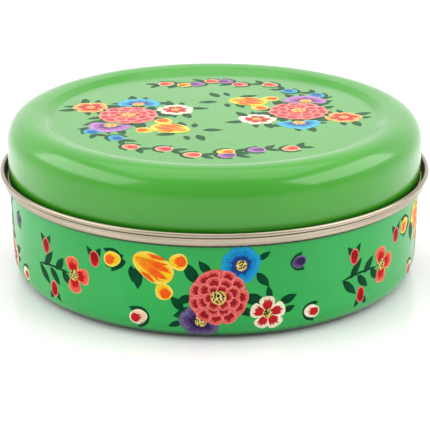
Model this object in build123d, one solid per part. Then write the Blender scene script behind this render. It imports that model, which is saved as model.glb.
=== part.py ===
from build123d import *
import os

# Round painted steel tin with a drop-in lid.
# Millimetres, +Z up, origin at the centre of the foot ring on the table.

# --- Sheet and coating ---
STEEL = 0.6                 # sheet thickness of both pressings
ENAMEL = 0.3                # thickness of the enamel coats

# --- Base pressing ---
BODY_R = 100.0              # outside radius of the wall, just under the shelf
BODY_TAPER = 0.9            # how far the wall draws in from the shelf to the foot
FOOT_INSET = 16.5           # top of the wall to the inner edge of the foot ring
FOOT_SLOPE = 2.0            # radial width of the slope up from the foot to the floor
FOOT_RECESS = 2.0           # height of the floor's underside above the table
FOOT_CORNER_R = 10.0        # outside radius of the bottom corner
FOOT_BEND_R = 1.0           # bends between the foot ring and the floor
SHELF_Z = 47.6              # height of the shelf the lid stands on
SHELF_BEND_R = 0.9          # bend from the wall out into the shelf
COLLAR_BEND_R = 1.3         # bend from the shelf up into the collar
COLLAR_RISE = 5.9           # shelf to the top of the rolled rim
CURL_R = 1.1                # outside radius of the rolled rim

# --- Lid pressing ---
LID_RISE = 31.3             # shelf to the steel crest of the lid
SHOULDER_R = 11.5           # shoulder radius from the crest into the skirt
CREST_INSET = 13.05         # skirt to the inner edge of the crest
CREST_BEND_R = 15.0         # soft bend at the inner edge of the crest
STEP_INSET = 17.05          # skirt to the top of the panel's step
STEP_DROP = 0.6             # crest to the top of the panel's step
STEP_BEND_R = 3.0           # bend at the top of the step
PANEL_INSET = 21.55         # skirt to the edge of the flat panel
PANEL_DROP = 3.0            # crest to the flat panel
PANEL_BEND_R = 2.0          # bend at the foot of the step
HEM_R = 1.1                 # outside radius of the rolled hem under the skirt

# --- Fits ---
SEAT_INSET = 0.15           # hem's contact circle beyond the shelf's inner bend
HEM_CLEARANCE = 0.55        # hem to the inside of the collar
PAINT_GAP = 0.3             # coat's cut edge to the nearest roll or bend
PAINT_FOOT_Z = 1.2          # height of the base coat's lower edge

# --- Derived ---
FOOT_INNER_R = BODY_R - FOOT_INSET
SEAT_R = BODY_R + SHELF_BEND_R + SEAT_INSET
COLLAR_INNER_R = SEAT_R + HEM_R + HEM_CLEARANCE
COLLAR_OUTER_R = COLLAR_INNER_R + STEEL
SHELF_UNDER_Z = SHELF_Z - STEEL
CURL_Z = SHELF_Z + COLLAR_RISE - CURL_R
SKIRT_R = SEAT_R - HEM_R + STEEL
HEM_Z = SHELF_Z + HEM_R
CREST_Z = SHELF_Z + LID_RISE


def sheet(outline, thickness, side):
    """Face of a strip of sheet that follows outline on one side of it."""
    strip = outline.offset_2d(thickness, kind=Kind.INTERSECTION, side=side, closed=True)
    return make_face(strip)


def spun(profile):
    """Solid of revolution from a profile drawn as radius and height."""
    return revolve(Plane.XZ * profile, axis=Axis.Z, revolution_arc=360)


def roll(centre_r, centre_z, radius, start_deg, sweep_deg):
    """Arc of a rolled edge's outer face."""
    return CenterArc((centre_r, centre_z), radius, start_deg, sweep_deg)


def wall_points():
    """Outside of the base wall, from the foot ring to the shelf."""
    return [
        (FOOT_INNER_R, 0),
        (BODY_R - BODY_TAPER, 0),
        (BODY_R, SHELF_UNDER_Z),
    ]


def base_shell():
    """Floor, foot ring, wall, shelf, collar and the rim rolled outwards."""
    under = [
        (0, FOOT_RECESS),
        (FOOT_INNER_R - FOOT_SLOPE, FOOT_RECESS),
    ]
    collar = [
        (COLLAR_OUTER_R, SHELF_UNDER_Z),
        (COLLAR_OUTER_R, CURL_Z),
    ]
    bends = [FOOT_BEND_R, FOOT_BEND_R, FOOT_CORNER_R, SHELF_BEND_R, COLLAR_BEND_R]
    outline = FilletPolyline(*under, *wall_points(), *collar, radius=bends)
    pan = sheet(Wire(outline), STEEL, Side.LEFT)
    curl = sheet(
        Wire(roll(COLLAR_INNER_R + CURL_R, CURL_Z, CURL_R, 180, -270)),
        STEEL,
        Side.RIGHT,
    )
    return spun(pan + curl)


def base_enamel():
    """Coat on the outside of the wall, down round the bottom corner."""
    outline = FilletPolyline(*wall_points(), radius=FOOT_CORNER_R)
    coat = sheet(Wire(outline), ENAMEL, Side.RIGHT)
    top = SHELF_UNDER_Z - SHELF_BEND_R - PAINT_GAP
    band = Pos(BODY_R, (PAINT_FOOT_Z + top) / 2) * Rectangle(BODY_R, top - PAINT_FOOT_Z)
    return spun(coat & band)


def lid_points(foot_z):
    """Top of the lid, from the middle of the panel to the foot of the skirt."""
    return [
        (0, CREST_Z - PANEL_DROP),
        (SKIRT_R - PANEL_INSET, CREST_Z - PANEL_DROP),
        (SKIRT_R - STEP_INSET, CREST_Z - STEP_DROP),
        (SKIRT_R - CREST_INSET, CREST_Z),
        (SKIRT_R, CREST_Z),
        (SKIRT_R, foot_z),
    ]


def lid_outline(foot_z):
    """Smooth line through the lid's points."""
    bends = [PANEL_BEND_R, STEP_BEND_R, CREST_BEND_R, SHOULDER_R]
    return Wire(FilletPolyline(*lid_points(foot_z), radius=bends))


def lid_shell():
    """Panel, step, crest, shoulder, skirt and the hem rolled outwards."""
    dome = sheet(lid_outline(HEM_Z), STEEL, Side.RIGHT)
    hem = sheet(Wire(roll(SEAT_R, HEM_Z, HEM_R, 180, 270)), STEEL, Side.LEFT)
    return spun(dome + hem)


def lid_enamel():
    """Coat over the whole top and skirt of the lid, stopping above the hem."""
    foot_z = HEM_Z + HEM_R + PAINT_GAP
    return spun(sheet(lid_outline(foot_z), ENAMEL, Side.LEFT))


NODES = {
    "base_shell": base_shell,
    "base_enamel": base_enamel,
    "lid_shell": lid_shell,
    "lid_enamel": lid_enamel,
}

os.makedirs("parts", exist_ok=True)
for name, make in NODES.items():
    export_step(make(), f"parts/{name}.step")
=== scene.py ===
import math
import random

import bpy
import numpy as np
from mathutils.bvhtree import BVHTree
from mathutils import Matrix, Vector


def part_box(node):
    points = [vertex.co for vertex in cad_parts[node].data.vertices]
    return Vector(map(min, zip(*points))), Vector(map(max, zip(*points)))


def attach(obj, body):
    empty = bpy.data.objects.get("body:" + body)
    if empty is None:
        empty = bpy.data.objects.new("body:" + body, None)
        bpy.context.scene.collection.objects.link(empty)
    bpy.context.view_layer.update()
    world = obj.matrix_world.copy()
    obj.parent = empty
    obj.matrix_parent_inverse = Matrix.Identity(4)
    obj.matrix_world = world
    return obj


# Looks for a round painted steel tin with a drop-in lid.
# Sizes are millimetres unless they say otherwise; MM turns them into Blender's metres.

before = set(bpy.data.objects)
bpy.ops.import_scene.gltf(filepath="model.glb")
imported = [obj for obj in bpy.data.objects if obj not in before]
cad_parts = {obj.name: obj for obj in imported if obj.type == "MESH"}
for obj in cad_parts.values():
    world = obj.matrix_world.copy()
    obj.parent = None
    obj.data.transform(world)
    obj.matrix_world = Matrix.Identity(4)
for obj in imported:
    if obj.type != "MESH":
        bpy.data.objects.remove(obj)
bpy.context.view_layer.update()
MM = 0.001
rng = random.Random(11)

# --- Heights on the tin, from the frame ---
COAT_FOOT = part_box("base_enamel")[0][2] / MM
COAT_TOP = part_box("base_enamel")[1][2] / MM
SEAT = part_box("lid_shell")[0][2] / MM
LID_COAT_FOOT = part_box("lid_enamel")[0][2] / MM

# --- Paint relief ---
RELIEF = 0.035              # how far a brush stroke swells above its own edge
LAYER = 0.02                # one coat of a stroke over another
EDGE_DEPTH = 0.07           # how far a stroke's edge runs down into the enamel
STROKE_STEP = 0.55          # spacing of the rows along a stroke
STEM_WIDTH = 1.1
BARE_EDGE = 1.8             # strip along the wall coat's edges that sprays of leaves keep out of
SLOPE_STEP = 0.2            # rise over which the wall's slope is measured
HAND_WOBBLE = 0.05          # unevenness of a stroke's outline, as a share of its width


def srgb(red, green, blue):
    """Linear colour from an everyday 0-255 one."""
    def linear(value):
        share = value / 255
        return share / 12.92 if share <= 0.04045 else ((share + 0.055) / 1.055) ** 2.4
    return np.array([linear(red), linear(green), linear(blue)])


# --- Paint colours ---
SALMON = srgb(232, 92, 88)
PALE_SALMON = srgb(246, 138, 126)
CRIMSON = srgb(158, 8, 22)
SCARLET = srgb(196, 14, 24)
CREAM = srgb(250, 240, 212)
BLUSH = srgb(250, 214, 176)
YELLOW = srgb(254, 206, 16)
AMBER = srgb(254, 152, 12)
ORANGE = srgb(248, 92, 6)
PALE_YELLOW = srgb(252, 230, 104)
SKY = srgb(0, 132, 196)
PALE_SKY = srgb(20, 160, 210)
NAVY = srgb(4, 58, 132)
LILAC = srgb(112, 100, 138)
MAUVE = srgb(84, 58, 114)
ORCHID = srgb(168, 104, 176)
PLUM = srgb(46, 24, 74)
INK = srgb(16, 16, 18)
LEAF_DARK = srgb(0, 62, 34)
LEAF_LIGHT = srgb(0, 82, 44)
LID_LEAF_DARK = srgb(0, 70, 24)
LID_LEAF_LIGHT = srgb(0, 90, 34)
EYE = srgb(240, 216, 128)
EYE_EDGE = srgb(230, 186, 70)


# --- Surfaces the flowers are painted on ---
def node_points(node):
    """Vertices of a CAD node in millimetres."""
    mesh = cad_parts[node].data
    points = np.empty(len(mesh.vertices) * 3)
    mesh.vertices.foreach_get("co", points)
    return points.reshape(-1, 3) / MM


class Wall:
    """Outside of the base coat. Across is arc length, up is height above the table."""

    def __init__(self, node):
        points = node_points(node)
        radius = np.hypot(points[:, 0], points[:, 1])
        hull = self.outer_side(np.column_stack([radius, points[:, 2]]))
        self.heights = hull[:, 1]
        self.radii = hull[:, 0]
        self.nominal = radius.max()
        self.body = "base"

    @staticmethod
    def outer_side(points):
        """Convex outer edge of (radius, height) points, from the lowest up."""
        order = np.lexsort((points[:, 0], points[:, 1]))
        chain = []
        for point in points[order]:
            while len(chain) > 1:
                run = chain[-1] - chain[-2]
                ahead = point - chain[-2]
                if run[0] * ahead[1] - run[1] * ahead[0] > 0:
                    break
                chain.pop()
            chain.append(point)
        return np.array(chain)

    def holds(self, spot):
        """Whether a point lies clear of the coat's edges."""
        return COAT_FOOT + BARE_EDGE < spot[1] < COAT_TOP - BARE_EDGE

    def place(self, across, up, height, turn):
        """Points above the wall; turn is where the painting's middle is, in degrees."""
        angle = np.radians(turn) + across / self.nominal
        radius = np.interp(up, self.heights, self.radii)
        slope = (np.interp(up + SLOPE_STEP, self.heights, self.radii) - radius) / SLOPE_STEP
        lean = 1 / np.sqrt(1 + slope ** 2)
        out = radius + height * lean
        rise = up - height * slope * lean
        return np.column_stack([out * np.sin(angle), -out * np.cos(angle), rise])


class Panel:
    """Flat top of the lid coat."""

    def __init__(self, node):
        tree = BVHTree.FromObject(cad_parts[node], bpy.context.evaluated_depsgraph_get())
        above = 2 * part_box(node)[1][2]
        self.level = tree.ray_cast((0, 0, above), (0, 0, -1))[0].z / MM
        self.body = "lid"

    def holds(self, spot):
        """The whole panel may be painted."""
        return True

    def place(self, across, up, height, turn):
        """Points above the panel; turn swings the whole painting round the middle."""
        cosine = math.cos(math.radians(turn))
        sine = math.sin(math.radians(turn))
        x = across * cosine - up * sine
        y = across * sine + up * cosine
        return np.column_stack([x, y, self.level + height])


# --- Brush strokes ---
def leaf_shape(along):
    """Pointed at both ends."""
    return np.sin(np.pi * along ** 0.85) ** 0.9


def petal_shape(along):
    """Narrow where it grows, round at the tip."""
    return 1.12 * along ** 0.5 * np.sqrt(np.clip(1 - along ** 4.5, 0, 1))


def egg_shape(along):
    """Round, a little fuller towards the tip."""
    return np.sqrt(np.clip(1 - (2 * along - 1) ** 2, 0, 1)) * (0.86 + 0.2 * along)


def round_shape(along):
    """A plain dab."""
    return np.sqrt(np.clip(1 - (2 * along - 1) ** 2, 0, 1))


def stem_shape(along):
    """Even, with short tapered ends."""
    return np.clip(np.minimum(along * 6, (1 - along) * 8), 0.15, 1)


class Painting:
    """Brush strokes gathered on one surface and joined into one thin relief mesh."""

    def __init__(self, name, surface, turn):
        self.name = name
        self.surface = surface
        self.turn = turn
        self.points = []
        self.faces = []
        self.colours = []
        self.strips = []
        self.sizes = []
        self.count = 0

    def stroke(self, at, heading, length, width, shape, start, end=None, edge=None, bow=0.0, layer=0):
        """One stroke from a point along a heading, coloured from start to end and towards edge."""
        end = start if end is None else end
        edge = start if edge is None else edge
        rows = max(5, min(14, math.ceil(length / STROKE_STEP)))
        columns = 6 if width > 2 else 4
        along = (1 - np.cos(np.pi * np.arange(rows + 1) / rows)) / 2
        across = np.linspace(-1, 1, columns + 1)
        s, t = np.meshgrid(along, across, indexing="ij")
        half = np.maximum(shape(s) * width / 2, 0.03)
        phase = rng.uniform(0, 2 * math.pi)
        half = half * (1 + HAND_WOBBLE * np.sin(7 * s + 2 * t + phase))
        forward = length * s
        sideways = half * t + bow * 4 * s * (1 - s)
        cosine = math.cos(math.radians(heading))
        sine = math.sin(math.radians(heading))
        u = at[0] + forward * cosine - sideways * sine
        v = at[1] + forward * sine + sideways * cosine
        swell = RELIEF * min(1, width / 3) * (1 - t ** 2) * np.sqrt(np.sin(np.pi * np.clip(s, 0, 1)))
        top = layer * LAYER + LAYER + swell
        shade = rng.uniform(0.93, 1.07)
        blend = np.clip(s * 1.2 - 0.1, 0, 1)[..., None]
        rim = np.clip(np.abs(t) * 2.4 - 1.4, 0, 1)[..., None]
        colour = ((start * (1 - blend) + end * blend) * (1 - rim) + edge * rim) * shade
        self.add_strip(u, v, top, colour, along, length, width)

    def add_strip(self, u, v, top, colour, along, length, width):
        """Adds a stroke's top and the edge that runs down round it."""
        rows, columns = u.shape
        index = np.arange(rows * columns).reshape(rows, columns)
        ring = np.concatenate([index[:, 0], index[-1, 1:], index[-2::-1, -1], index[0, -2:0:-1]])
        flat_u = np.concatenate([u.ravel(), u.ravel()[ring], u.ravel()[ring]])
        flat_v = np.concatenate([v.ravel(), v.ravel()[ring], v.ravel()[ring]])
        down = np.full(len(ring), -EDGE_DEPTH)
        height = np.concatenate([top.ravel(), top.ravel()[ring], down])
        tint = colour.reshape(-1, 3)
        tint = np.concatenate([tint, tint[ring], tint[ring]])
        corners = [index[:-1, :-1], index[1:, :-1], index[1:, 1:], index[:-1, 1:]]
        quads = np.stack(corners, -1).reshape(-1, 4)
        upper = rows * columns + np.arange(len(ring))
        lower = upper + len(ring)
        skirt = np.stack([upper, lower, np.roll(lower, -1), np.roll(upper, -1)], -1)
        self.points.append(self.surface.place(flat_u, flat_v, height, self.turn))
        self.faces.append(np.concatenate([quads, skirt]) + self.count)
        self.colours.append(tint)
        s, t = np.meshgrid(along, np.linspace(0, 1, columns), indexing="ij")
        strip = np.column_stack([s.ravel() * length, t.ravel() * width])
        self.strips.append(np.concatenate([strip, strip[ring], strip[ring]]))
        self.sizes.append((length, width))
        self.count += len(flat_u)

    def unroll(self):
        """Lays the strokes side by side in a unit square, so that none shares paint with another."""
        gap = 0.25
        order = sorted(range(len(self.sizes)), key=lambda k: -self.sizes[k][1])
        area = sum((length + gap) * (width + gap) for length, width in self.sizes)
        side = math.sqrt(area) * 1.02
        while True:
            corners, top = self.shelve(order, side, gap)
            if top <= side:
                break
            side *= 1.03
        laid = [strip + corners[k] for k, strip in enumerate(self.strips)]
        return np.concatenate(laid) / side

    def shelve(self, order, side, gap):
        """Corners of the strokes set out in rows of one width, and how high the rows come."""
        corners = {}
        x = gap
        y = gap
        tallest = 0
        for k in order:
            length, width = self.sizes[k]
            if x + length + gap > side:
                x = gap
                y += tallest + gap
                tallest = 0
            corners[k] = np.array([x, y])
            x += length + gap
            tallest = max(tallest, width)
        return corners, y + tallest + gap

    def finish(self, material):
        """Makes the mesh object and lets it ride on its body."""
        mesh = bpy.data.meshes.new(self.name)
        points = np.concatenate(self.points) * MM
        faces = np.concatenate(self.faces)
        mesh.from_pydata(points.tolist(), [], faces.tolist())
        tint = mesh.color_attributes.new("paint", "FLOAT_COLOR", "POINT")
        colours = np.concatenate(self.colours)
        rgba = np.column_stack([colours, np.ones(len(colours))])
        tint.data.foreach_set("color", rgba.ravel().astype(np.float32))
        corner_vertex = faces.ravel()
        for layer, spots in (("OFBake", self.unroll()), ("brush", np.concatenate(self.strips))):
            uv = mesh.uv_layers.new(name=layer)
            uv.data.foreach_set("uv", spots[corner_vertex].ravel().astype(np.float32))
        mesh.uv_layers["OFBake"].active = True
        mesh.polygons.foreach_set("use_smooth", np.ones(len(faces), dtype=bool))
        mesh.update()
        piece = bpy.data.objects.new(self.name, mesh)
        bpy.context.scene.collection.objects.link(piece)
        mesh.materials.append(material)
        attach(piece, self.surface.body)
        return piece


# --- Motifs ---
def beyond(at, heading, distance):
    """The point at a distance from another along a heading."""
    turn = math.radians(heading)
    return (at[0] + distance * math.cos(turn), at[1] + distance * math.sin(turn))


def dab(p, at, size, colour, layer, edge=None):
    """Round dab centred on a point."""
    p.stroke((at[0] - size / 2, at[1]), 0, size, size, round_shape, colour, edge=edge, layer=layer)


def feathers(p, at, heading, reach, spread, count, width, colour, layer):
    """Thin pointed strokes fanned from one point."""
    for k in range(count):
        lean = 2 * k / (count - 1) - 1
        turn = heading + lean * spread + rng.uniform(-2, 2)
        length = reach * (1 - 0.22 * lean ** 2) * rng.uniform(0.78, 1)
        p.stroke(at, turn, length, width, leaf_shape, colour, layer=layer)


def petal(p, at, heading, length, width, tints, layer, reach=0.7):
    """Outline, body and a feathered heart that reaches a share of the way to the tip."""
    rim, body, heart = tints
    p.stroke(at, heading, length, width, petal_shape, rim, layer=layer)
    inner = beyond(at, heading, 0.04 * length)
    p.stroke(inner, heading, 0.9 * length, 0.87 * width, petal_shape, body, edge=body, layer=layer + 1)
    p.stroke(inner, heading, 0.72 * reach * length, 0.58 * width, petal_shape, heart, layer=layer + 2)
    spread = math.degrees(math.atan2(width * 0.36, length * 0.66))
    count = 9 if width > 4 else 6
    feathers(p, inner, heading, 1.04 * reach * length, spread, count, width * 0.15, heart, layer + 3)


def eye(p, at, size, layer):
    """Flower's middle: a yellow disc full of dots."""
    ink = INK if p.surface.body == "base" else ORANGE
    dab(p, at, size, EYE_EDGE, layer, edge=EYE)
    dab(p, at, size * 0.9, EYE, layer + 1, edge=EYE_EDGE)
    dot = max(0.55, size * 0.105)
    for ring, count in ((0.05, 2), (0.21, 7), (0.38, 12)):
        for k in range(count):
            turn = 360 * (k + rng.uniform(-0.3, 0.3)) / count
            spot = beyond(at, turn, size * ring * rng.uniform(0.88, 1.1))
            p.stroke(spot, rng.uniform(0, 180), dot * 1.8, dot, round_shape, ink, layer=layer + 3)


def ring_of_petals(p, at, inner, outer, count, turn, tints, layer, plump=1.0, reach=0.7):
    """Petals set round a point; a plump of 1 makes each as wide as its share of the ring."""
    for k in range(count):
        heading = turn + 360 * k / count + rng.uniform(-5, 5)
        length = (outer - inner) * rng.uniform(0.92, 1.06)
        width = plump * 2 * math.pi * (inner + 0.72 * length) / count
        petal(p, beyond(at, heading, inner), heading, length, width, tints, layer, reach)


def peony(p, at, radius, turn, tints):
    """Double flower: three rings of petals."""
    dab(p, at, radius * 1.92, tints[1], 8)
    ring_of_petals(p, at, radius * 0.56, radius, 11, turn, tints, 10, 1.16, 0.86)
    ring_of_petals(p, at, radius * 0.32, radius * 0.73, 8, turn + 20, tints, 15, 1.14, 0.86)
    ring_of_petals(p, at, radius * 0.12, radius * 0.49, 6, turn + 5, tints, 20, 1.1, 0.88)
    eye(p, at, radius * 0.52, 25)


def open_flower(p, at, radius, count, turn, tints, plump=1.08, reach=0.84):
    """Single flower of broad petals."""
    ring_of_petals(p, at, radius * 0.12, radius, count, turn, tints, 3, plump, reach)
    eye(p, at, radius * 0.54, 8)


def shaggy_flower(p, at, radius, turn, sweep, tints, oval=0.0):
    """Flower of feathery lobes over a part of a circle; oval stretches it sideways."""
    rim, body, heart = tints
    count = max(3, round(sweep / 45))
    step = sweep / count
    for k in range(count):
        heading = turn + step * (k + 0.5)
        reach = radius * (1 + oval * math.cos(math.radians(2 * heading))) * rng.uniform(0.92, 1.06)
        width = 2 * reach * math.tan(math.radians(step / 2)) * 1.12
        p.stroke(at, heading, reach * 0.92, width, petal_shape, body, end=rim, edge=rim, layer=2)
        outer = beyond(at, heading, reach * 0.42)
        inner = beyond(at, heading, reach * 0.2)
        feathers(p, outer, heading, reach * 0.6, 38, 13, radius * 0.08, rim, 4)
        feathers(p, inner, heading, reach * 0.66, 30, 11, radius * 0.09, body, 5)
        feathers(p, at, heading, reach * 0.62, step * 0.5, 9, radius * 0.1, heart, 6)
    eye(p, at, radius * 0.54, 8)


def bud(p, at, heading, length, width, tints):
    """Closed bud centred on a point: an egg with a feathered heart at its tip end."""
    rim, body, heart = tints
    base = beyond(at, heading + 180, length / 2)
    p.stroke(base, heading, length, width, egg_shape, rim, layer=2)
    inner = beyond(base, heading, 0.07 * length)
    p.stroke(inner, heading, 0.86 * length, 0.84 * width, egg_shape, body, layer=3)
    middle = beyond(base, heading, 0.46 * length)
    p.stroke(middle, heading, 0.46 * length, 0.6 * width, round_shape, heart, layer=4)
    tip = beyond(base, heading, 0.93 * length)
    feathers(p, tip, heading + 180, 0.74 * length, 26, 6, width * 0.17, heart, 6)


def tulip(p, at, heading, length, width):
    """Big yellow cup striped with orange, with two curled outer petals at its mouth."""
    for side in (1, -1):
        size = 0.6 * width
        out = heading + 34 * side
        middle = beyond(beyond(at, heading, 0.95 * length), heading + 90 * side, 0.57 * width)
        root = beyond(middle, out + 180, size / 2)
        p.stroke(root, out, size, size, egg_shape, YELLOW, edge=PALE_YELLOW, layer=2)
        p.stroke(middle, out, size * 0.42, size * 0.62, round_shape, ORANGE, layer=4)
        tip = beyond(root, out, size * 0.93)
        feathers(p, tip, out + 180, size * 0.74, 34, 8, size * 0.15, ORANGE, 5)
    p.stroke(at, heading, length, width, egg_shape, YELLOW, edge=PALE_YELLOW, layer=7)
    for lean, reach in ((-27, 0.82), (-9, 0.95), (9, 0.95), (27, 0.82)):
        body = reach * length * 0.92
        root = beyond(at, heading + lean, 0.06 * length)
        bow = -lean * 0.03
        p.stroke(root, heading + lean * 0.6, body, width * 0.2, leaf_shape, AMBER, ORANGE, AMBER, bow, 9)
        tip = beyond(at, heading + lean * 0.9, body)
        feathers(p, tip, heading + lean * 0.5 + 180, body * 0.62, 9, 5, width * 0.06, ORANGE, 12)


def leaf(p, at, heading, length, width, tints):
    """One dark leaf in one press of the brush."""
    dark, light = tints
    p.stroke(at, heading, length, width, leaf_shape, dark, end=light, edge=dark)


def stem(p, at, heading, length, bow):
    """Thin stem."""
    p.stroke(at, heading, length, STEM_WIDTH, stem_shape, LEAF_DARK, bow=bow)


def spray(p, at, reach, first, last, count, length, tints):
    """Leaves fanned out from the edge of a flower, long and short by turns."""
    for k in range(count):
        heading = first + (last - first) * k / (count - 1)
        size = length * (0.72 if k % 2 else 1)
        lean = 20 if k % 2 else -20
        root = beyond(at, heading, reach)
        tip = beyond(root, heading + lean, size)
        if p.surface.holds(root) and p.surface.holds(tip):
            leaf(p, root, heading + lean, size, 0.46 * size, tints)


def twig(p, at, heading, length, tints):
    """Two leaves in a V that cradle a bud."""
    for lean in (-34, 34):
        leaf(p, at, heading + lean, length, 0.44 * length, tints)


def arc(wall, degrees):
    """Arc length round the wall."""
    return math.radians(degrees) * wall.nominal


# --- Tints: rim, body and heart of a petal ---
SALMON_CRIMSON = (PALE_SALMON, SALMON, CRIMSON)
PINK_CRIMSON = (srgb(250, 176, 158), srgb(240, 116, 108), srgb(196, 36, 56))
CREAM_RED = (CREAM, CREAM, SCARLET)
BLUSH_RED = (CREAM, BLUSH, SCARLET)
RED_SALMON = (PALE_SALMON, SCARLET, CRIMSON)
CORAL = (srgb(250, 160, 110), srgb(240, 96, 76), SCARLET)
YELLOW_ORANGE = (PALE_YELLOW, YELLOW, ORANGE)
GOLD_RED = (srgb(252, 208, 130), srgb(248, 166, 84), SCARLET)
BLUE = (PALE_SKY, SKY, NAVY)
PURPLE = (LILAC, MAUVE, PLUM)
LID_BLUE = (srgb(84, 194, 218), srgb(24, 152, 202), srgb(0, 86, 154))
LID_CORAL = (srgb(250, 200, 152), srgb(244, 140, 104), srgb(208, 56, 48))
LID_PINK = (srgb(250, 186, 164), srgb(240, 124, 112), srgb(196, 36, 56))
PINK_PURPLE = (srgb(196, 140, 196), ORCHID, srgb(110, 50, 120))

# --- Layout of the painting, set out by rule ---
BOUQUET_TURNS = (0, 90, 180, 270)
SPRIG_TURNS = (35, 125, 215, 305)
LID_TURNS = (0, 190)
GARLAND_R = 64              # ring of buds round the lid's panel
GARLAND_START = 205         # degrees
GARLAND_STEP = 14
GARLAND = (LID_BLUE, LID_BLUE, LID_CORAL, LID_PINK, LID_CORAL, YELLOW_ORANGE)
CROWN_START = 85
CROWN = (PINK_PURPLE, PINK_PURPLE, LID_CORAL)
LID_LEAF = (LID_LEAF_DARK, LID_LEAF_LIGHT)
WALL_LEAF = (LEAF_DARK, LEAF_LIGHT)


# --- Paintings ---
def wall_spots(wall):
    """Middles of the bouquet's flowers, round its biggest one."""
    middle = (arc(wall, 1), 22)
    return {
        "peony": middle,
        "blue": beyond(middle, 56, 18),
        "purple": beyond(middle, 236, 14),
        "cream": beyond(middle, -22, 24),
        "tulip": beyond(middle, 156, 42),
    }


def wall_buds(wall):
    """Buds at the bouquet's ends: where, heading, size and tints."""
    return (
        ((arc(wall, -27), 36), 200, 9, YELLOW_ORANGE),
        ((arc(wall, -20), 10), 200, 9, BLUSH_RED),
        ((arc(wall, 22), 36), 10, 7, PURPLE),
        ((arc(wall, 26), 11), -10, 8, CREAM_RED),
    )


def wall_leaves(p):
    """Leaves of one bouquet on the wall."""
    spots = wall_spots(p.surface)
    spray(p, spots["peony"], 11, 0, 324, 10, 12, WALL_LEAF)
    spray(p, spots["blue"], 8, -30, 60, 3, 9, WALL_LEAF)
    spray(p, spots["purple"], 9, 150, 220, 3, 9, WALL_LEAF)
    spray(p, spots["cream"], 7, -40, 80, 4, 9, WALL_LEAF)
    spray(p, spots["tulip"], 5, 150, 290, 5, 11, WALL_LEAF)
    for at, heading, size, _ in wall_buds(p.surface):
        twig(p, beyond(at, heading + 180, 0.6 * size), heading, 1.1 * size, WALL_LEAF)


def wall_flowers(p):
    """Flowers and buds of one bouquet on the wall."""
    for at, heading, size, tints in wall_buds(p.surface):
        bud(p, at, heading, size, 0.84 * size, tints)
    spots = wall_spots(p.surface)
    tulip(p, spots["tulip"], -25, 20, 14)
    shaggy_flower(p, spots["blue"], 9.5, 0, 360, BLUE)
    shaggy_flower(p, spots["purple"], 10, 110, 230, PURPLE, 0.15)
    open_flower(p, spots["cream"], 8.5, 5, 90, CREAM_RED)
    peony(p, spots["peony"], 13.5, 0, SALMON_CRIMSON)


def sprig(p):
    """Small spray of red flowers between two bouquets: leaves by turns along a stem, buds beside it."""
    root = (0, 22)
    slope = 3
    reach = 24
    stem(p, root, slope, reach, 1.0)
    for k in range(5):
        side = 1 if k % 2 else -1
        node = beyond(root, slope, 1 + 4.5 * k)
        leaf(p, node, slope + 48 * side, 12 - k, 4, WALL_LEAF)
    for along, side in ((8, 1), (12, -1), (40, 1)):
        spot = beyond(beyond(root, slope, along), slope + 90 * side, 10)
        twig(p, spot, slope + 90 * side, 7, WALL_LEAF)
        bud(p, spot, slope + 90 * side, 8, 5.5, RED_SALMON)
    middle = beyond(root, slope, reach + 3)
    for heading in (100, 5, -90):
        petal(p, middle, heading, 9, 9.5, CORAL, 3, 0.78)
    eye(p, middle, 5.4, 8)


# Middles of the flowers of the lid's bouquet, across and up from the middle of the panel.
LID_PEONY = (-42, 0)
LID_SPOTS = {
    "blue": beyond(LID_PEONY, 78, 20),
    "purple": beyond(LID_PEONY, 246, 19),
    "gold": beyond(LID_PEONY, 144, 24),
    "cream": beyond(LID_PEONY, 24, 25),
    "tulip": beyond(LID_PEONY, 318, 40),
}


def garland():
    """Buds on a ring round the lid: where, heading and tints."""
    for start, row in ((GARLAND_START, GARLAND), (CROWN_START, CROWN)):
        for k, tints in enumerate(row):
            turn = start + GARLAND_STEP * k
            ring = GARLAND_R - 5 * (k % 2)
            yield beyond((0, 0), turn, ring), turn + 90, tints


def lid_leaves(p):
    """Leaves of one bouquet on the lid."""
    spray(p, LID_PEONY, 12, 10, 334, 10, 13, LID_LEAF)
    for at in LID_SPOTS.values():
        spray(p, at, 7, 20, 308, 7, 10, LID_LEAF)
    for at, heading, _ in garland():
        twig(p, beyond(at, heading + 180, 6), heading, 10, LID_LEAF)
        twig(p, beyond(at, heading, 4), heading, 8, LID_LEAF)


def lid_flowers(p):
    """Flowers and buds of one bouquet on the lid."""
    for at, heading, tints in garland():
        bud(p, at, heading, 8.5, 8, tints)
    tulip(p, LID_SPOTS["tulip"], 150, 20, 15)
    shaggy_flower(p, LID_SPOTS["blue"], 11.5, -15, 210, LID_BLUE)
    shaggy_flower(p, LID_SPOTS["purple"], 11.5, 150, 210, PINK_PURPLE)
    open_flower(p, LID_SPOTS["gold"], 9, 6, 60, GOLD_RED, 1.24, 0.74)
    open_flower(p, LID_SPOTS["cream"], 9, 7, 20, CREAM_RED, 1.24, 0.7)
    peony(p, LID_PEONY, 14.5, 0, PINK_CRIMSON)


# --- Materials ---
FULL_SHARE = 0.35           # share of an effect's spread over which it is at full strength

# Pairs of a height on the tin and how far the effect spreads from it.
# Painted shade on the steel: dark lines where the foot meets the table, under the base coat's top edge
# and at the rolled rim.
STEEL_SHADE_LINES = ((0.3, 1.7), (COAT_TOP + 0.4, 0.6), (LID_COAT_FOOT + 1.0, 0.7))
FOOT_SHADE_INNER = 88.5           # inside this radius the painted shade at the foot is mostly left off the underside
FOOT_SHADE_OUTER = 90.5           # outside this one it is painted in full
RIM_INNER = 99.6            # outside this radius the steel has yellowed a little with handling
RIM_OUTER = 100.4           # and outside this one fully
# Painted shade on the green coats: darker green along the base coat's foot and top edge, and along the
# lid coat's foot above the rim.
BASE_SHADE_LINES = ((1.0, 3.6), (COAT_TOP, 0.6))
LID_SHADE_LINES = ((LID_COAT_FOOT + 0.9, 3.0),)
SHADED_LIP = ((SEAT - 0.4, 1.3),)  # the bend under the rim: painted shade, rougher and less metallic steel


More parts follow.
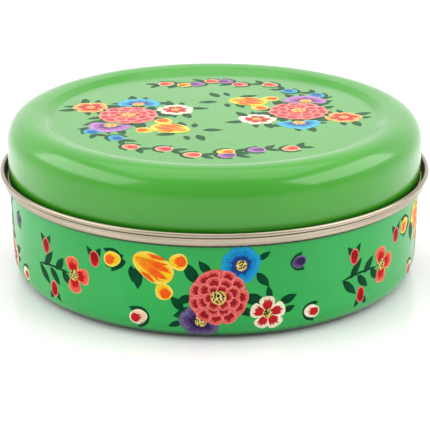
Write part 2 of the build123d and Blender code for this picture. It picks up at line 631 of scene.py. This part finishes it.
class Nodes:
    """Short way to build one material's nodes."""

    def __init__(self, name):
        self.material = bpy.data.materials.new(name)
        self.material.use_nodes = True
        self.tree = self.material.node_tree
        self.shader = self.tree.nodes["Principled BSDF"]

    def add(self, kind, **values):
        node = self.tree.nodes.new(kind)
        for key, value in values.items():
            if key in node.inputs:
                node.inputs[key].default_value = value
            else:
                setattr(node, key, value)
        return node

    def link(self, source, target):
        self.tree.links.new(source, target)

    def noise(self, vector, scale, detail=3.0, roughness=0.5):
        node = self.add("ShaderNodeTexNoise", Scale=scale, Detail=detail, Roughness=roughness)
        self.link(vector, node.inputs["Vector"])
        return node.outputs["Fac"]

    def ramp(self, source, low, high, dark, light):
        """Maps a stretch of a grey value to another."""
        node = self.add("ShaderNodeMapRange")
        for key, value in zip(("From Min", "From Max", "To Min", "To Max"), (low, high, dark, light)):
            node.inputs[key].default_value = value
        self.link(source, node.inputs["Value"])
        return node.outputs["Result"]

    def mix(self, share, first, second, blend="MIX"):
        """Colour mix; first and second are sockets or linear colours."""
        node = self.add("ShaderNodeMix", data_type="RGBA", blend_type=blend)
        sockets = [k for k in node.inputs if k.type == "RGBA"]
        factor = node.inputs[0]
        for socket, value in ((factor, share), (sockets[0], first), (sockets[1], second)):
            if isinstance(value, bpy.types.NodeSocket):
                self.link(value, socket)
            elif socket is factor:
                socket.default_value = value
            else:
                socket.default_value = (*value, 1)
        return [k for k in node.outputs if k.type == "RGBA"][0]

    def bump(self, height, strength, distance):
        node = self.add("ShaderNodeBump", Strength=strength, Distance=distance)
        self.link(height, node.inputs["Height"])
        self.link(node.outputs["Normal"], self.shader.inputs["Normal"])

    def put(self, name, value):
        socket = self.shader.inputs[name]
        if isinstance(value, bpy.types.NodeSocket):
            self.link(value, socket)
        else:
            socket.default_value = value

    def place(self):
        """Coordinates on the object in metres."""
        return self.add("ShaderNodeTexCoord").outputs["Object"]

    def axes(self):
        """The same coordinates one by one."""
        split = self.add("ShaderNodeSeparateXYZ")
        self.link(self.place(), split.inputs[0])
        return split.outputs

    def from_axis(self, axes):
        """Distance from the tin's axis."""
        flat = self.add("ShaderNodeCombineXYZ")
        self.link(axes["X"], flat.inputs["X"])
        self.link(axes["Y"], flat.inputs["Y"])
        radius = self.add("ShaderNodeVectorMath", operation="LENGTH")
        self.link(flat.outputs[0], radius.inputs[0])
        return radius.outputs["Value"]


def spun_place(nodes, along, across):
    """Coordinates that stretch a texture round the axis, as spinning marks run."""
    axes = nodes.axes()
    angle = nodes.add("ShaderNodeMath", operation="ARCTAN2")
    nodes.link(axes["Y"], angle.inputs[0])
    nodes.link(axes["X"], angle.inputs[1])
    radius = nodes.from_axis(axes)
    parts = []
    for socket, scale in ((radius, across), (angle.outputs[0], along), (axes["Z"], across)):
        scaled = nodes.add("ShaderNodeMath", operation="MULTIPLY")
        scaled.inputs[1].default_value = scale
        nodes.link(socket, scaled.inputs[0])
        parts.append(scaled.outputs[0])
    joined = nodes.add("ShaderNodeCombineXYZ")
    for part, socket in zip(parts, joined.inputs):
        nodes.link(part, socket)
    return joined.outputs[0]


def near_heights(nodes, places):
    """1 at each height on the tin, fading to 0 at a distance from it."""
    height = nodes.axes()["Z"]
    total = None
    for level, spread in places:
        away = nodes.add("ShaderNodeMath", operation="SUBTRACT")
        away.inputs[1].default_value = level * MM
        nodes.link(height, away.inputs[0])
        far = nodes.add("ShaderNodeMath", operation="ABSOLUTE")
        nodes.link(away.outputs[0], far.inputs[0])
        mask = nodes.ramp(far.outputs[0], FULL_SHARE * spread * MM, spread * MM, 1.0, 0.0)
        if total is not None:
            most = nodes.add("ShaderNodeMath", operation="MAXIMUM")
            nodes.link(total, most.inputs[0])
            nodes.link(mask, most.inputs[1])
            mask = most.outputs[0]
        total = mask
    return total


def steel():
    """Spun stainless steel: fine rings, soft smears, painted shade at its foot and in its crevices, and
    a rougher, less metallic bend under the rim with painted shade.
    """
    nodes = Nodes("spun_steel")
    rings = nodes.noise(spun_place(nodes, 1.5, 1400), 1.0, 4.0, 0.6)
    smears = nodes.noise(nodes.place(), 28, 4.0)
    radius = nodes.from_axis(nodes.axes())
    edge = nodes.ramp(radius, RIM_INNER * MM, RIM_OUTER * MM, 0.0, 1.0)
    warm = nodes.mix(edge, srgb(203, 197, 189), srgb(204, 191, 170))
    dull = nodes.mix(edge, srgb(150, 144, 137), srgb(148, 135, 116))
    tone = nodes.mix(nodes.ramp(rings, 0.3, 0.7, 0.0, 1.0), dull, warm)
    tone = nodes.mix(nodes.ramp(smears, 0.45, 0.75, 0.0, 0.4), tone, dull)
    # painted shade: the dark lines, mostly kept off the flat underside inside the foot
    shade_reach = nodes.ramp(radius, FOOT_SHADE_INNER * MM, FOOT_SHADE_OUTER * MM, 0.15, 1.0)
    shade_off_underside = nodes.add("ShaderNodeMath", operation="MULTIPLY")
    nodes.link(near_heights(nodes, STEEL_SHADE_LINES), shade_off_underside.inputs[0])
    nodes.link(shade_reach, shade_off_underside.inputs[1])
    steel_shade = shade_off_underside.outputs[0]
    # painted shade in the bend under the rim, which is also made rougher and less metallic
    lip_shade = near_heights(nodes, SHADED_LIP)
    tone = nodes.mix(nodes.ramp(lip_shade, 0, 1, 0, 0.6), tone, srgb(178, 161, 140))
    nodes.put("Base Color", nodes.mix(steel_shade, tone, srgb(56, 50, 38)))
    shade_and_dull = nodes.add("ShaderNodeMath", operation="MAXIMUM")
    nodes.link(steel_shade, shade_and_dull.inputs[0])
    nodes.link(nodes.ramp(lip_shade, 0, 1, 0, 0.85), shade_and_dull.inputs[1])
    nodes.put("Metallic", nodes.ramp(shade_and_dull.outputs[0], 0, 1, 1.0, 0.15))
    rough = nodes.ramp(rings, 0.25, 0.75, 0.17, 0.32)
    dulled = nodes.add("ShaderNodeMath", operation="MULTIPLY_ADD", use_clamp=True)
    dulled.inputs[1].default_value = 0.4
    nodes.link(shade_and_dull.outputs[0], dulled.inputs[0])
    nodes.link(rough, dulled.inputs[2])
    nodes.put("Roughness", dulled.outputs[0])
    nodes.bump(rings, 0.25, 0.00006)
    return nodes.material


def enamel(name, colour, deep, varnish, shade_places):
    """Brushed-on gloss enamel: faint brush drag, orange peel, light rubbing and painted shade at its
    edges.
    """
    nodes = Nodes(name)
    drag = nodes.noise(spun_place(nodes, 4.0, 260), 1.0, 3.0)
    cloud = nodes.noise(nodes.place(), 22, 3.0)
    peel = nodes.noise(nodes.place(), 420, 2.0)
    tone = nodes.mix(nodes.ramp(cloud, 0.35, 0.65, 0.0, 0.55), colour, deep)
    tone = nodes.mix(nodes.ramp(drag, 0.4, 0.75, 0.0, 0.3), tone, deep)
    # painted shade: darker green near the given heights
    edge = nodes.ramp(near_heights(nodes, shade_places), 0, 1, 0, 0.8)
    nodes.put("Base Color", nodes.mix(edge, tone, srgb(8, 62, 26)))
    rubbed = nodes.noise(nodes.place(), 60, 5.0, 0.65)
    nodes.put("Roughness", nodes.ramp(rubbed, 0.4, 0.75, 0.18, 0.34))
    nodes.put("IOR", 1.45)
    nodes.put("Coat Weight", varnish)
    nodes.put("Coat Roughness", 0.12)
    nodes.bump(peel, 0.12, 0.00012)
    return nodes.material


def brush_paint(name, shine):
    """Flower paint under varnish: the stroke's own colour, streaked along the brush."""
    nodes = Nodes(name)
    tint = nodes.add("ShaderNodeVertexColor", layer_name="paint").outputs["Color"]
    brush = nodes.add("ShaderNodeUVMap", uv_map="brush").outputs["UV"]
    stretch = nodes.add("ShaderNodeMapping")
    stretch.inputs["Scale"].default_value = (0.35, 2.6, 1)
    nodes.link(brush, stretch.inputs["Vector"])
    streak = nodes.noise(stretch.outputs[0], 1.0, 3.0)
    dark = nodes.mix(1.0, tint, srgb(206, 206, 206), "MULTIPLY")
    nodes.put("Base Color", nodes.mix(nodes.ramp(streak, 0.35, 0.65, 0.0, 0.8), tint, dark))
    nodes.put("Roughness", nodes.ramp(streak, 0.3, 0.7, 0.3, 0.45))
    nodes.put("Specular IOR Level", shine)
    nodes.bump(streak, 0.35, 0.00008)
    return nodes.material


def dress(node, material):
    """Gives a CAD node its material."""
    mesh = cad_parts[node].data
    mesh.materials.clear()
    mesh.materials.append(material)


# --- Build ---
bare_steel = steel()
dress("base_shell", bare_steel)
dress("lid_shell", bare_steel)
dress("base_enamel", enamel("base_green", srgb(0, 166, 66), srgb(0, 152, 60), 0.12, BASE_SHADE_LINES))
dress("lid_enamel", enamel("lid_green", srgb(56, 155, 18), srgb(46, 145, 16), 0.55, LID_SHADE_LINES))

wall_paints = {
    "leaves": brush_paint("wall_leaf_paint", 0.05),
    "flowers": brush_paint("wall_flower_paint", 0.14),
}
lid_paints = {
    "leaves": brush_paint("lid_leaf_paint", 0.18),
    "flowers": brush_paint("lid_flower_paint", 0.36),
}
wall_surface = Wall("base_enamel")
panel_surface = Panel("lid_enamel")
for number, turn in enumerate(BOUQUET_TURNS, 1):
    for part, draw in (("leaves", wall_leaves), ("flowers", wall_flowers)):
        painting = Painting(f"base_{part}_{number}", wall_surface, turn)
        draw(painting)
        painting.finish(wall_paints[part])
for number, turn in enumerate(SPRIG_TURNS, 1):
    painting = Painting(f"base_sprig_{number}", wall_surface, turn)
    sprig(painting)
    painting.finish(wall_paints["leaves"])
for number, turn in enumerate(LID_TURNS, 1):
    for part, draw in (("leaves", lid_leaves), ("flowers", lid_flowers)):
        painting = Painting(f"lid_{part}_{number}", panel_surface, turn)
        draw(painting)
        painting.finish(lid_paints[part])


# --- Studio ---
CAMERA_BACK = 0.750         # metres from the tin's axis
CAMERA_HEIGHT = 0.2953
CAMERA_PITCH = 19.85        # degrees below level
CAMERA_LENS = 133.7         # on a 36 mm wide film
CAMERA_SHIFT = 0.0012
FLOOR_HALF = 4.0            # metres
SKY_FRONT = 0.58            # brightness of the surroundings before the tin
SKY_BACK = 1.05             # and behind it
LIGHTS = (
    # name, place and aim in metres, size, power
    ("overhead", (0, 0.1, 1.3), (0, 0, 0), (1.4, 1.2), 5),
    ("left_box", (-1.05, -0.15, 0.75), (0, 0, 0.05), (1.5, 0.7), 8),
    ("right_box", (1.05, -0.15, 0.75), (0, 0, 0.05), (1.5, 0.7), 8),
)


def studio_floor():
    """Pale glossy table that runs out of sight."""
    mesh = bpy.data.meshes.new("floor")
    corners = [(x * FLOOR_HALF, y * FLOOR_HALF, 0) for x, y in ((-1, -1), (1, -1), (1, 1), (-1, 1))]
    mesh.from_pydata(corners, [], [(0, 1, 2, 3)])
    floor = bpy.data.objects.new("floor", mesh)
    bpy.context.scene.collection.objects.link(floor)
    nodes = Nodes("floor_white")
    cloud = nodes.noise(nodes.place(), 3.0)
    nodes.put("Base Color", nodes.mix(cloud, (0.9, 0.9, 0.9), (0.88, 0.885, 0.88)))
    nodes.put("Roughness", nodes.ramp(cloud, 0.3, 0.7, 0.1, 0.14))
    mesh.materials.append(nodes.material)


def soft_light(name, place, aim, size, power):
    """Rectangular area light turned towards a point."""
    light = bpy.data.lights.new(name, "AREA")
    light.shape = "RECTANGLE"
    light.size, light.size_y = size
    light.energy = power
    lamp = bpy.data.objects.new(name, light)
    lamp.location = place
    direction = lamp.location - type(lamp.location)(aim)
    lamp.rotation_euler = direction.to_track_quat("Z", "Y").to_euler()
    bpy.context.scene.collection.objects.link(lamp)


def studio_sky(front, back):
    """White surroundings, dimmer towards the front of the tin than behind it."""
    world = bpy.data.worlds.new("studio")
    world.use_nodes = True
    tree = world.node_tree
    direction = tree.nodes.new("ShaderNodeTexCoord")
    split = tree.nodes.new("ShaderNodeSeparateXYZ")
    fade = tree.nodes.new("ShaderNodeMapRange")
    fade.inputs["From Min"].default_value = -1
    fade.inputs["From Max"].default_value = 0
    fade.inputs["To Min"].default_value = front
    fade.inputs["To Max"].default_value = back
    background = tree.nodes["Background"]
    background.inputs["Color"].default_value = (1, 1, 1, 1)
    tree.links.new(direction.outputs["Generated"], split.inputs[0])
    tree.links.new(split.outputs["Y"], fade.inputs["Value"])
    tree.links.new(fade.outputs["Result"], background.inputs["Strength"])
    bpy.context.scene.world = world


def studio_camera():
    """Camera at the height and distance the tin is seen from."""
    data = bpy.data.cameras.new("camera")
    data.lens = CAMERA_LENS
    data.shift_x = CAMERA_SHIFT
    camera = bpy.data.objects.new("camera", data)
    camera.location = (0, -CAMERA_BACK, CAMERA_HEIGHT)
    camera.rotation_euler = (math.radians(90 - CAMERA_PITCH), 0, 0)
    bpy.context.scene.collection.objects.link(camera)
    bpy.context.scene.camera = camera


studio_floor()
studio_sky(SKY_FRONT, SKY_BACK)
for light in LIGHTS:
    soft_light(*light)
studio_camera()
bpy.context.scene.view_settings.view_transform = "Standard"
